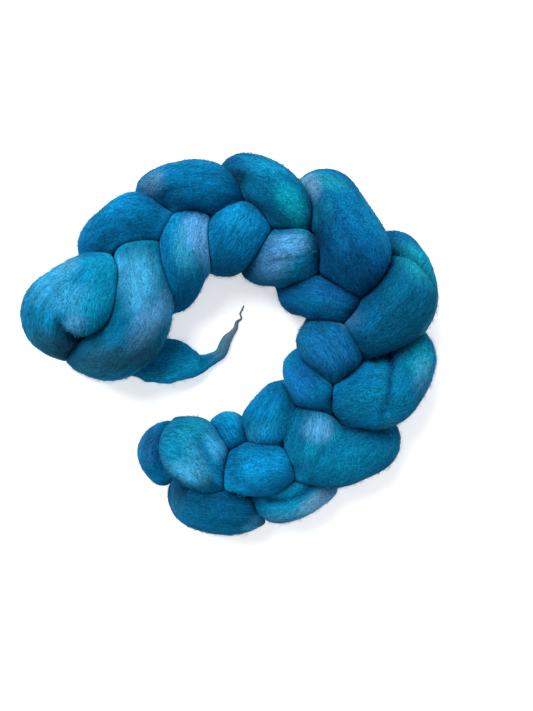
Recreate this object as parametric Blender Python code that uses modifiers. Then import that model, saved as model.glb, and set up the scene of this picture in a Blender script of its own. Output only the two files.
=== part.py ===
"""Wool roving: one length of combed wool, looped through itself into a chain braid and laid
in a C, with its last end drawn out as a flat, tapering wisp.

Millimetres in the tables, metres in the model, +Z up. The braid rests on Z = 0 and the origin
is under the middle of its plan.
"""
import math
from collections import namedtuple

import bpy
import bmesh
from mathutils import Vector

for old in list(bpy.data.objects):
    bpy.data.objects.remove(old, do_unlink=True)

# ---------------------------------------------------------------- driving dimensions (mm)
MM = 0.001
PLAN_SHIFT = (20.7, -6.7)     # moves the tables' plan so that the origin is in its middle
VOXEL = 1.7                  # grid on which the loops are fused into one body
BRAID_TRIANGLES = 6400       # facets kept on the braid
HEAD_HEIGHT = 14.0           # middle of the bend that joins the two legs of a link, underneath
HEAD_RADIUS = 12.5
HEAD_REACH = 10.0            # how far that bend reaches on towards the newer link
BUMP_HEIGHT = 8.5            # middle of the short run on the back, from link to link
BUMP_RADIUS = 11.0
CORE_HEIGHT = 17.0           # wool pressed together in the middle of the braid
CORE_RADIUS = 11.0
END_GAP = 0.5                # clear space between the loose end and the braid
END_FLATNESS = 0.62          # thickness of the loose end against its width

# Folds of the braid that show on top. Each runs from its root, where it comes out between the
# legs of the link before, to its tip, where it turns down under the link after. A section is
# (x, y, height of the middle, half-width).
Fold = namedtuple("Fold", "name sections")
FOLDS = [
    # starting end of the chain
    Fold("start_side", [(-61.5, -68, 12, 10.5), (-65, -58, 14, 12.5), (-62, -52, 12, 11.5)]),
    Fold("start_loop", [(-26.5, -73.5, 15, 8.5), (-35, -63.5, 22, 16.5), (-42.5, -55.5, 23, 19),
                        (-51, -53.5, 21, 15.5)]),
    Fold("outer_J", [(-7.5, -93.5, 16, 9.5), (-20, -90.5, 18, 15), (-36.5, -88.5, 15.5, 16),
                     (-47, -84.5, 12, 12.5)]),
    Fold("outer_I", [(-4.5, -89, 16, 10.5), (11, -85.5, 18, 13), (25, -79.5, 15.5, 13),
                     (34.5, -74, 11, 9.5)]),
    Fold("middle_H", [(13, -69, 17, 7.5), (2, -65, 24.5, 14), (-11.5, -66, 25, 15.5),
                      (-18.5, -67, 16, 11)]),
    Fold("inner_H", [(-17, -56.5, 15, 9.5), (-22, -46, 17, 12), (-21.5, -46.5, 11, 9.5)]),
    Fold("outer_G", [(20, -70.5, 16, 10.5), (34.5, -64, 20, 15), (52, -56.5, 18.5, 17.5),
                     (66.5, -50, 12, 14)]),
    Fold("inner_G", [(-2.5, -51.5, 13, 9.5), (-0.5, -39.5, 21.5, 14), (5.5, -29.5, 18.5, 12),
                     (9, -24, 12, 8.5)]),
    Fold("round_G", [(23.5, -65.5, 18, 12), (25.5, -55.5, 21, 16), (28, -44, 23, 16),
                     (29.5, -38.5, 17, 12.5)]),
    # regular links, each with an outer and an inner leg
    Fold("outer_F", [(42, -27.5, 20, 10.5), (55.5, -24, 25, 19), (70.5, -20.5, 23.5, 19),
                     (83.5, 2, 16, 16)]),
    Fold("inner_F", [(34, -31, 21, 9.5), (26.5, -18.5, 23, 14), (21.5, -10.5, 17.5, 11),
                     (21, -4.5, 11, 8.5)]),
    Fold("outer_E", [(51.5, 12.5, 20, 10), (64, 17.5, 25, 19), (74.5, 30, 26.5, 22.5),
                     (77.5, 41.5, 25, 19.5), (78, 51.5, 20, 16.5), (74.5, 61, 13, 13.5)]),
    Fold("inner_E", [(42, -9.5, 20, 10.5), (37.5, 1, 26, 17), (32, 8, 20.5, 13.5),
                     (31, 12.5, 12, 10.5)]),
    Fold("outer_D", [(60.5, 39, 22, 11), (51.5, 54, 29, 21), (42, 76.5, 25.5, 19.5),
                     (32.5, 94, 16, 16.5)]),
    Fold("inner_D", [(55.5, 31, 21, 10.5), (39.5, 32.5, 24, 14), (24, 36, 19.5, 12.5),
                     (18, 40, 11, 11.5)]),
    Fold("outer_C", [(24, 80.5, 21, 12.5), (10, 87, 25, 17), (-4.5, 98.5, 22.5, 17),
                     (-16.5, 105, 14, 14)]),
    Fold("inner_C", [(30, 63.5, 20, 12.5), (15.5, 58, 25, 16.5), (3, 57, 20.5, 15.5),
                     (-6.5, 58, 12, 12)]),
    Fold("outer_B", [(-14, 94, 22, 11), (-38, 96.5, 25, 16), (-57.5, 95, 21.5, 15.5),
                     (-68.5, 95.5, 14, 10.5)]),
    Fold("inner_B", [(-9, 80.5, 23, 13.5), (-15.5, 70, 26, 17.5), (-22, 63.5, 20.5, 16),
                     (-28.5, 62, 12, 12.5)]),
    Fold("outer_A", [(-58, 80.5, 22, 9.5), (-73.5, 78.5, 26, 16), (-87, 73, 22.5, 14.5),
                     (-100, 63.5, 13, 13.5)]),
    Fold("inner_A", [(-43.5, 76.5, 22, 12.5), (-45.5, 63, 27, 14.5), (-48.5, 49, 21.5, 13),
                     (-57, 34, 11, 8.5)]),
    # last loop of the chain, a broad leg and a big puffed knob
    Fold("last_leg", [(-73.5, 59.5, 22, 14), (-71.5, 41, 25, 15.5), (-75.5, 19.5, 24, 19),
                      (-89.5, 5, 21, 19.5), (-105, 4, 16, 15.5)]),
    Fold("knob", [(-95.5, 49.5, 22, 10), (-107.5, 37.5, 24, 18.5), (-118, 25, 24, 22.5),
                  (-118.5, 19, 18, 21.5)]),
    Fold("knob_crown", [(-94, 43.5, 31, 11), (-98, 29.5, 36, 13.5), (-99, 25, 35, 14)]),
]

# The outer and inner leg of each regular link, from the newest link to the oldest.
Link = namedtuple("Link", "outer inner")
LINKS = [
    Link("last_leg", "knob"),
    Link("outer_A", "inner_A"),
    Link("outer_B", "inner_B"),
    Link("outer_C", "inner_C"),
    Link("outer_D", "inner_D"),
    Link("outer_E", "inner_E"),
    Link("outer_F", "inner_F"),
    Link("outer_G", "inner_G"),
    Link("outer_I", "inner_H"),
    Link("outer_J", "start_loop"),
]

# The loose end, from under the last leg to its tip: (x, y, half-width).
Wisp = namedtuple("Wisp", "x y half_width")
LOOSE_END = [
    Wisp(-79, -1.5, 11.5), Wisp(-69.8, -3, 13.8), Wisp(-62.3, -3.9, 14.2), Wisp(-55.4, -4, 13.2),
    Wisp(-48, -4.9, 10.2), Wisp(-42.5, -5.2, 5.8), Wisp(-37.9, -3.4, 4.2), Wisp(-32.8, -1.4, 3.4),
    Wisp(-28.8, 1.3, 3.4), Wisp(-26.6, 5.9, 3.5), Wisp(-24.4, 10.6, 3.2), Wisp(-21.9, 13.8, 2.2),
    Wisp(-19.5, 17, 1.6), Wisp(-18.6, 20.3, 1.3), Wisp(-17, 22.6, 1), Wisp(-16.2, 26.5, 0.9),
    Wisp(-14.6, 31, 0.9),
]

# ---------------------------------------------------------------- collections and materials
parts = bpy.data.collections.new("wool_roving")
cutters = bpy.data.collections.new("wool_roving_cutters")
bpy.context.scene.collection.children.link(parts)
bpy.context.scene.collection.children.link(cutters)


def wool(name, colour):
    material = bpy.data.materials.new(name)
    material.use_nodes = True
    shader = material.node_tree.nodes["Principled BSDF"]
    shader.inputs["Base Color"].default_value = (*colour, 1.0)
    shader.inputs["Roughness"].default_value = 0.85
    shader.inputs["Metallic"].default_value = 0.0
    return material


DYED_WOOL = wool("dyed_wool", (0.012, 0.20, 0.33))
WISP_WOOL = wool("wisp_wool", (0.03, 0.21, 0.30))


# ---------------------------------------------------------------- shape functions
def smooth_run(stations, per_span=5):
    """Catmull-Rom run through stations of any number of columns."""
    padded = [stations[0]] + list(stations) + [stations[-1]]
    run = []
    for i in range(1, len(padded) - 2):
        before, a, b, after = padded[i - 1:i + 3]
        for k in range(per_span):
            t = k / per_span
            run.append(tuple(
                0.5 * (2 * a[c] + (b[c] - before[c]) * t
                       + (2 * before[c] - 5 * a[c] + 4 * b[c] - after[c]) * t ** 2
                       + (3 * a[c] - before[c] - 3 * b[c] + after[c]) * t ** 3)
                for c in range(len(a))))
    run.append(tuple(stations[-1]))
    return run


def round_ends(run):
    """Adds a domed end, as long as the half-width, to each end of an (x, y, z, r) run."""
    def dome(end, inner):
        centre, radius = Vector(end[:3]), end[3]
        out = (centre - Vector(inner[:3])).normalized()
        return [(*(centre + out * radius * u), radius * math.sqrt(1 - u * u))
                for u in (0.35, 0.65, 0.85, 0.97)]
    return dome(run[0], run[1])[::-1] + list(run) + dome(run[-1], run[-2])


def tube_mesh(name, run, rings=6):
    """A closed tube along an (x, y, z, r) run in mm, as a mesh in metres."""
    curve = bpy.data.curves.new(name, "CURVE")
    curve.dimensions = "3D"
    curve.bevel_depth = 1.0
    curve.bevel_resolution = rings
    curve.use_fill_caps = True
    spline = curve.splines.new("POLY")
    spline.points.add(len(run) - 1)
    for point, (x, y, z, r) in zip(spline.points, run):
        point.co = ((x + PLAN_SHIFT[0]) * MM, (y + PLAN_SHIFT[1]) * MM, z * MM, 1.0)
        point.radius = r * MM
    guide = bpy.data.objects.new(name, curve)
    cutters.objects.link(guide)
    bpy.context.view_layer.update()
    evaluated = guide.evaluated_get(bpy.context.evaluated_depsgraph_get())
    mesh = bpy.data.meshes.new_from_object(evaluated)
    bpy.data.objects.remove(guide, do_unlink=True)
    shape = bmesh.new()
    shape.from_mesh(mesh)
    bmesh.ops.remove_doubles(shape, verts=shape.verts, dist=1e-6)
    bmesh.ops.recalc_face_normals(shape, faces=shape.faces)
    shape.to_mesh(mesh)
    shape.free()
    return mesh


def part_object(name, mesh, material, collection=parts):
    mesh.materials.clear()
    mesh.materials.append(material)
    thing = bpy.data.objects.new(name, mesh)
    collection.objects.link(thing)
    return thing


def cutter_object(name, mesh):
    thing = bpy.data.objects.new(name, mesh)
    cutters.objects.link(thing)
    thing.hide_render = True
    thing.display_type = "WIRE"
    return thing


def applied(thing):
    """The object's mesh with its modifiers applied, which replaces its own mesh."""
    bpy.context.view_layer.update()
    mesh = bpy.data.meshes.new_from_object(
        thing.evaluated_get(bpy.context.evaluated_depsgraph_get()))
    thing.modifiers.clear()
    thing.data = mesh
    return mesh


def keep_largest_shell(mesh):
    """Drops every shell but the largest, such as the wall of a pocket inside the wool."""
    shape = bmesh.new()
    shape.from_mesh(mesh)
    shape.verts.ensure_lookup_table()
    seen, shells = set(), []
    for start in shape.verts:
        if start.index in seen:
            continue
        seen.add(start.index)
        shell, front = [start], [start]
        while front:
            vertex = front.pop()
            for edge in vertex.link_edges:
                other = edge.other_vert(vertex)
                if other.index not in seen:
                    seen.add(other.index)
                    shell.append(other)
                    front.append(other)
        shells.append(shell)
    shells.sort(key=len)
    for shell in shells[:-1]:
        bmesh.ops.delete(shape, geom=shell, context="VERTS")
    shape.to_mesh(mesh)
    shape.free()


# ---------------------------------------------------------------- the wound form
fold = {f.name: f.sections for f in FOLDS}
runs = [smooth_run(f.sections) for f in FOLDS]

necks = []
for link in LINKS:
    a, b = fold[link.outer][0], fold[link.inner][0]
    necks.append(Vector(((a[0] + b[0]) / 2, (a[1] + b[1]) / 2, 0)))

# heads: the bend under the newer link that joins a link's two legs
for link, neck, newer in zip(LINKS[1:], necks[1:], necks):
    a, b = fold[link.outer][-1], fold[link.inner][-1]
    on = (newer - neck).normalized() * HEAD_REACH
    runs.append(smooth_run([
        a,
        ((a[0] + b[0]) / 2 + on.x, (a[1] + b[1]) / 2 + on.y, HEAD_HEIGHT, HEAD_RADIUS),
        b]))

# bumps: the short run on the back from each link's neck to the next, and the pressed core
for neck, newer in zip(necks[1:], necks):
    middle = (neck + newer) / 2
    runs.append(smooth_run([
        (neck.x, neck.y, HEAD_HEIGHT, BUMP_RADIUS),
        (middle.x, middle.y, BUMP_HEIGHT, BUMP_RADIUS),
        (newer.x, newer.y, HEAD_HEIGHT, BUMP_RADIUS)]))
runs.append(smooth_run([(n.x, n.y, CORE_HEIGHT, CORE_RADIUS) for n in necks]))

shape = bmesh.new()
for number, run in enumerate(runs):
    mesh = tube_mesh("run_%02d" % number, round_ends(run))
    shape.from_mesh(mesh)
    bpy.data.meshes.remove(mesh)
loops = bpy.data.meshes.new("braid")
shape.to_mesh(loops)
shape.free()

braid = part_object("braid", loops, DYED_WOOL)
remesh = braid.modifiers.new("Fuse", "REMESH")
remesh.mode = "VOXEL"
remesh.voxel_size = VOXEL * MM
remesh.adaptivity = 0.0
soften = braid.modifiers.new("Soften", "SMOOTH")
soften.factor = 0.5
soften.iterations = 4
keep_largest_shell(applied(braid))

triangles = sum(len(p.vertices) - 2 for p in braid.data.polygons)
reduce = braid.modifiers.new("Reduce", "DECIMATE")
reduce.decimate_type = "COLLAPSE"
reduce.ratio = min(1.0, BRAID_TRIANGLES / triangles)
reduce.use_collapse_triangulate = True
applied(braid)

# ---------------------------------------------------------------- the loose end
# A round tube whose underside touches Z = 0, flattened towards the table.
stations = smooth_run([(w.x, w.y, w.half_width, w.half_width) for w in LOOSE_END], 2)
wisp_mesh = tube_mesh("loose_end", round_ends(stations), rings=3)
for vertex in wisp_mesh.vertices:
    vertex.co.z = vertex.co.z * END_FLATNESS - 0.3 * MM
loose_end = part_object("loose_end", wisp_mesh, WISP_WOOL)

clearance = [(x, y, z, r + END_GAP + 0.6) for x, y, z, r in smooth_run(fold["last_leg"])]
clear_cutter = cutter_object("last_leg_clearance", tube_mesh("clearance", round_ends(clearance)))
cut = loose_end.modifiers.new("ClearOfBraid", "BOOLEAN")
cut.operation = "DIFFERENCE"
cut.solver = "EXACT"
cut.object = clear_cutter

# ---------------------------------------------------------------- flat where it lies
bpy.ops.mesh.primitive_cube_add(size=1.0, location=(0, 0, -0.05))
table = bpy.context.active_object
table.name = "table_cutter"
for collection in list(table.users_collection):
    collection.objects.unlink(table)
cutters.objects.link(table)
table.scale = (0.6, 0.6, 0.1)
table.hide_render = True
table.display_type = "WIRE"
for thing in (braid, loose_end):
    flat = thing.modifiers.new("FlatUnderside", "BOOLEAN")
    flat.operation = "DIFFERENCE"
    flat.solver = "EXACT"
    flat.object = table
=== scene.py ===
"""Looks of the wool roving: the chain braid as swept wool folds pressed against each other,
its combed fibres, its hand-dyed colours, the drawn-out loose end, and a plain studio.

Tables are in millimetres in the plan of the braid; PLAN_SHIFT moves them into the row frame.
"""
import math
from collections import namedtuple

import bpy
import numpy as np
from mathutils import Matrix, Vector


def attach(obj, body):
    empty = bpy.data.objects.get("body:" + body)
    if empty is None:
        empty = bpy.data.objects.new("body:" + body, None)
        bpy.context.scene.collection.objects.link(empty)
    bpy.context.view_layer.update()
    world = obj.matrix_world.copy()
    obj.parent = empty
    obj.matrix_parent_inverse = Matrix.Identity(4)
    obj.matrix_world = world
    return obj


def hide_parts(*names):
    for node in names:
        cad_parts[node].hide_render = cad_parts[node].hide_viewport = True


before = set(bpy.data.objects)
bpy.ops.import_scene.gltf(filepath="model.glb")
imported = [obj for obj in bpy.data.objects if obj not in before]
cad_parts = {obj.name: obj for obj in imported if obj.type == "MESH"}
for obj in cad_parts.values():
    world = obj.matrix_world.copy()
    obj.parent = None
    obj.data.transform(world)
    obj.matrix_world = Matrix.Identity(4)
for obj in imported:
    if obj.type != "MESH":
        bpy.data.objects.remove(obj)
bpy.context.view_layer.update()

MM = 0.001
PLAN_SHIFT = np.array([20.7, -6.7, 0.0])

# ---------------------------------------------------------------- camera, looking straight down
camera_data = bpy.data.cameras.new("camera")
camera_data.lens = 25.97
camera_data.sensor_width = 36.0
camera_data.clip_start = 0.02
camera = bpy.data.objects.new("camera", camera_data)
camera.location = (PLAN_SHIFT[0] * MM, PLAN_SHIFT[1] * MM, 0.323)
bpy.context.scene.collection.objects.link(camera)
bpy.context.scene.camera = camera

# ---------------------------------------------------------------- the folds, as in the CAD
# (x, y, height of the middle, half-width), from root to tip
Fold = namedtuple("Fold", "name sections")
FOLDS = [
    # starting end of the chain
    Fold("start_side", [(-61.5, -68, 12, 10.5), (-65, -58, 14, 12.5), (-62, -52, 12, 11.5)]),
    Fold("start_loop", [(-26.5, -73.5, 15, 8.5), (-35, -63.5, 22, 16.5), (-42.5, -55.5, 23, 19),
                        (-51, -53.5, 21, 15.5)]),
    Fold("outer_J", [(-7.5, -93.5, 16, 9.5), (-20, -90.5, 18, 15), (-36.5, -88.5, 15.5, 16),
                     (-47, -84.5, 12, 12.5)]),
    Fold("outer_I", [(-4.5, -89, 16, 10.5), (11, -85.5, 18, 13), (25, -79.5, 15.5, 13),
                     (34.5, -74, 11, 9.5)]),
    Fold("middle_H", [(13, -69, 17, 7.5), (2, -65, 24.5, 14), (-11.5, -66, 25, 15.5),
                      (-18.5, -67, 16, 11)]),
    Fold("inner_H", [(-17, -56.5, 15, 9.5), (-22, -46, 17, 12), (-21.5, -46.5, 11, 9.5)]),
    Fold("outer_G", [(20, -70.5, 16, 10.5), (34.5, -64, 20, 15), (52, -56.5, 18.5, 17.5),
                     (66.5, -50, 12, 14)]),
    Fold("inner_G", [(-2.5, -51.5, 13, 9.5), (-0.5, -39.5, 21.5, 14), (5.5, -29.5, 18.5, 12),
                     (9, -24, 12, 8.5)]),
    Fold("round_G", [(23.5, -65.5, 18, 12), (25.5, -55.5, 21, 16), (28, -44, 23, 16),
                     (29.5, -38.5, 17, 12.5)]),
    # regular links, each with an outer and an inner leg
    Fold("outer_F", [(42, -27.5, 20, 10.5), (55.5, -24, 25, 19), (70.5, -20.5, 23.5, 19),
                     (83.5, 2, 16, 16)]),
    Fold("inner_F", [(34, -31, 21, 9.5), (26.5, -18.5, 23, 14), (21.5, -10.5, 17.5, 11),
                     (21, -4.5, 11, 8.5)]),
    Fold("outer_E", [(51.5, 12.5, 20, 10), (64, 17.5, 25, 19), (74.5, 30, 26.5, 22.5),
                     (77.5, 41.5, 25, 19.5), (78, 51.5, 20, 16.5), (74.5, 61, 13, 13.5)]),
    Fold("inner_E", [(42, -9.5, 20, 10.5), (37.5, 1, 26, 17), (32, 8, 20.5, 13.5),
                     (31, 12.5, 12, 10.5)]),
    Fold("outer_D", [(60.5, 39, 22, 11), (51.5, 54, 29, 21), (42, 76.5, 25.5, 19.5),
                     (32.5, 94, 16, 16.5)]),
    Fold("inner_D", [(55.5, 31, 21, 10.5), (39.5, 32.5, 24, 14), (24, 36, 19.5, 12.5),
                     (18, 40, 11, 11.5)]),
    Fold("outer_C", [(24, 80.5, 21, 12.5), (10, 87, 25, 17), (-4.5, 98.5, 22.5, 17),
                     (-16.5, 105, 14, 14)]),
    Fold("inner_C", [(30, 63.5, 20, 12.5), (15.5, 58, 25, 16.5), (3, 57, 20.5, 15.5),
                     (-6.5, 58, 12, 12)]),
    Fold("outer_B", [(-14, 94, 22, 11), (-38, 96.5, 25, 16), (-57.5, 95, 21.5, 15.5),
                     (-68.5, 95.5, 14, 10.5)]),
    Fold("inner_B", [(-9, 80.5, 23, 13.5), (-15.5, 70, 26, 17.5), (-22, 63.5, 20.5, 16),
                     (-28.5, 62, 12, 12.5)]),
    Fold("outer_A", [(-58, 80.5, 22, 9.5), (-73.5, 78.5, 26, 16), (-87, 73, 22.5, 14.5),
                     (-100, 63.5, 13, 13.5)]),
    Fold("inner_A", [(-43.5, 76.5, 22, 12.5), (-45.5, 63, 27, 14.5), (-48.5, 49, 21.5, 13),
                     (-57, 34, 11, 8.5)]),
    # last loop of the chain, a broad leg and a big puffed knob
    Fold("last_leg", [(-73.5, 59.5, 22, 14), (-71.5, 41, 25, 15.5), (-75.5, 19.5, 24, 19),
                      (-89.5, 5, 21, 19.5), (-105, 4, 16, 15.5)]),
    Fold("knob", [(-95.5, 49.5, 22, 10), (-107.5, 37.5, 24, 18.5), (-118, 25, 24, 22.5),
                  (-118.5, 19, 18, 21.5)]),
    Fold("knob_crown", [(-94, 43.5, 31, 11), (-98, 29.5, 36, 13.5), (-99, 25, 35, 14)]),
]
LINKS = [("last_leg", "knob"), ("outer_A", "inner_A"), ("outer_B", "inner_B"),
         ("outer_C", "inner_C"), ("outer_D", "inner_D"), ("outer_E", "inner_E"),
         ("outer_F", "inner_F"), ("outer_G", "inner_G"), ("outer_I", "inner_H"),
         ("outer_J", "start_loop")]
HEAD_HEIGHT, HEAD_RADIUS, HEAD_REACH = 14.0, 12.5, 10.0
BUMP_HEIGHT, BUMP_RADIUS = 8.5, 11.0
CORE_HEIGHT, CORE_RADIUS = 17.0, 11.0
BED_HEIGHT, BED_RADIUS = -6.0, 15.0     # wool pressed flat under the middle of the braid

# The loose end, from under the last leg to its tip: (x, y, half-width)
LOOSE_END = [
    (-79, -1.5, 11.5), (-69.8, -2.7, 13.4), (-62.3, -3.4, 13.7), (-55.4, -3.9, 12.7),
    (-48, -5.2, 9.8), (-42.5, -5.5, 6.4), (-37.9, -3.8, 4.6), (-32.8, -1.4, 3.7),
    (-28.8, 1.3, 3.6), (-26.6, 5.9, 3.5), (-24.4, 10.6, 3.1), (-21.9, 13.8, 2.0),
    (-19.5, 17, 1.5), (-18.8, 20.3, 1.2), (-17.6, 21.9, 0.85), (-16.1, 22.7, 0.7),
    (-15.8, 24.1, 0.6), (-16.6, 26, 0.55), (-16, 27.5, 0.55), (-15, 29.4, 0.55),
    (-14.4, 31, 0.4),
]
END_FLATNESS = 0.62

# ---------------------------------------------------------------- sizes of the finish
RING_STEP = 1.45        # mesh spacing along a fold
SECTOR_STEP = 1.0       # and round it, where the fold is widest
CONTACT_GAP = 0.12      # between two folds pressed together
CREASE_FILL = (4.2, 1.0)    # how softly a crease is filled with wool, low down and on top
SHOULDER = (1.0, 4.4)       # how roundly folds turn down into a crease, low down and on top
SEAM = 2.5              # how far lobes of one fold run on into each other
FLOOR_BLEND = 0.5       # how softly a fold turns flat where it lies
FELT_FILL, FELT_SHOULDER = 9.0, 0.8     # both, where loose fibres have felted over a crease

# Where creases are felted over (above nought) or pinched hard (below it)
Felted = namedtuple("Felted", "x y long wide turn amount")
FELTED = [
    Felted(-87, 38, 15, 7, 90, 0.9), Felted(-73, 65, 16, 7, 10, 0.8),
    Felted(-99, 57, 10, 6, 10, 0.6), Felted(-57, 47, 18, 6, 100, 0.75),
    Felted(-32, 60, 14, 6, 90, 0.9), Felted(-27, 78, 13, 6, 10, 0.6),
    Felted(-3, 66, 13, 6, 56, 0.8), Felted(-41, -75, 14, 6, -15, 0.5),
    Felted(-59, -41, 8, 7, 45, 0.9), Felted(-56, -74, 8, 5, -45, 0.5),
    Felted(0, -78, 8, 5, 35, 0.5),
    Felted(-84, 55, 8, 8, 0, 0.9), Felted(-56, 75, 9, 6, 30, 0.9),
    Felted(1, -49, 13, 6, 0, 0.45), Felted(-26, -61, 15, 7, 100, 0.55),
    Felted(11, -73, 14, 6, 15, 0.6), Felted(24, 46, 7, 6, 0, 0.7),
    Felted(13, 70, 9, 6, 0, 0.5), Felted(-49, 80, 8, 6, 0, 0.6),
    Felted(38, 19, 8, 6, 0, 0.6), Felted(37, -17, 8, 6, 0, 0.7),
    Felted(52, -1, 8, 6, 0, 0.6), Felted(12, -57, 8, 6, 0, 0.7),
    Felted(-29, -75, 9, 5, -15, 0.7), Felted(76, -46, 7, 7, 0, 0.6),
    # and the notches between folds along the edges
    Felted(-34.5, -39.5, 6, 6, 0, 0.6), Felted(-17.5, -35, 6, 6, 0, 0.6),
    Felted(-34, 49, 6, 6, 0, 0.5), Felted(6.5, 40, 6, 6, 0, 0.5),
    Felted(22, 20.5, 6, 6, 0, 0.5), Felted(15.5, 2, 6, 6, 0, 0.5),
    Felted(9, -12.5, 6, 6, 0, 0.6), Felted(-55.5, 24.5, 6, 6, 0, 0.5),
    Felted(-122, -3.5, 6, 6, 0, 0.5), Felted(96.5, 13.5, 8, 8, 0, 0.8),
    Felted(48, 14, 11, 6, 70, 0.4), Felted(27, 62, 12, 5, 90, -0.6),
    Felted(-50, 84, 12, 5, -30, -0.4), Felted(62, 36, 10, 6, 45, -0.2),
    Felted(72, -1, 12, 5, 10, -0.4), Felted(-99, 10, 10, 7, 50, -0.4),
]

# Small creases inside a fold: its strand, half-width, depth, and the line it follows in plan
Trough = namedtuple("Trough", "strand width depth line")
TROUGHS = [
    Trough("knob", 1.8, 6.0, [(-111, 24), (-112.3, 18.7), (-111.5, 14.3), (-108.8, 10.6),
                             (-104.6, 7.3), (-101, 4.9)]),
    Trough("link_A", 2.2, 0.5, [(-68, 63), (-63, 69.5), (-57, 74)]),
    Trough("link_E", 1.7, 3.2, [(66, 58), (72, 58.2), (77, 57), (82.5, 53.4), (87, 48.7),
                                (91, 43.4), (94, 37.4), (95, 30)]),
    Trough("link_F", 1.9, 3.2, [(70.5, 2), (70.3, -1), (70.1, -6), (69.2, -11.5), (68, -19),
                                (65.7, -27), (63, -36), (61, -42)]),
    Trough("link_I", 2.2, 2.6, [(-4, -82), (7.5, -83), (17, -81.5), (24, -77), (30, -70)]),
    Trough("link_J", 4.5, 1.1, [(-39, -44), (-34, -55.5), (-24, -68)]),
    Trough("middle_H", 2.6, 1.5, [(-21, -67), (-12, -72.5), (-1, -77)]),
    Trough("link_C", 1.4, 0.9, [(-2, 52), (10.5, 52), (22, 53)]),
    Trough("last_leg", 4.0, 1.2, [(-60, 34), (-66, 20), (-76, 4)]),
    Trough("link_B", 2.0, 0.9, [(-60, 88), (-48, 92), (-34, 90)]),
]

# Dyes, as linear colours, and what each strand is mostly dyed: two of them, blended at random
DYES = {
    "azure": (0.002, 0.170, 0.375), "ocean": (0.002, 0.130, 0.285), "teal": (0.002, 0.170, 0.320),
    "aqua": (0.004, 0.285, 0.485), "bright": (0.004, 0.290, 0.580), "green": (0.003, 0.365, 0.500),
    "moss": (0.002, 0.060, 0.125), "navy": (0.002, 0.105, 0.270), "sky": (0.055, 0.390, 0.640),
    "lilac": (0.110, 0.400, 0.710), "mauve": (0.070, 0.240, 0.460), "slate": (0.060, 0.220, 0.370),
    "deep": (0.002, 0.100, 0.205), "leaf": (0.008, 0.250, 0.340), "haze": (0.165, 0.410, 0.590),
    "ash": (0.170, 0.230, 0.270), "dusk": (0.014, 0.078, 0.135), "cobalt": (0.008, 0.160, 0.430),
    "indigo": (0.001, 0.048, 0.130), "pewter": (0.080, 0.190, 0.255), "vivid": (0.003, 0.248, 0.505),
}
STRAND_DYES = {
    "link_J": ("ocean", "deep"), "link_I": ("aqua", "azure"), "link_G": ("ocean", "teal"),
    "link_F": ("azure", "teal"), "link_E": ("ocean", "deep"), "link_D": ("navy", "ocean"),
    "link_C": ("teal", "ocean"), "link_B": ("azure", "azure"), "link_A": ("azure", "azure"),
    "start_side": ("azure", "azure"), "middle_H": ("vivid", "azure"),
    "round_G": ("teal", "aqua"), "last_leg": ("aqua", "teal"),
    "knob": ("aqua", "teal"), "knob_crown": ("aqua", "aqua"), "back_run": ("azure", "ocean"),
    "core": ("ocean", "ocean"), "bed": ("azure", "ocean"), "loose_end": ("aqua", "azure"),
}
CREASE_SHADE_TINT = np.array([1.15, 1.05, 0.90])      # the painted shade in creases takes more red than blue, so creases are a little bluer
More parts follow.
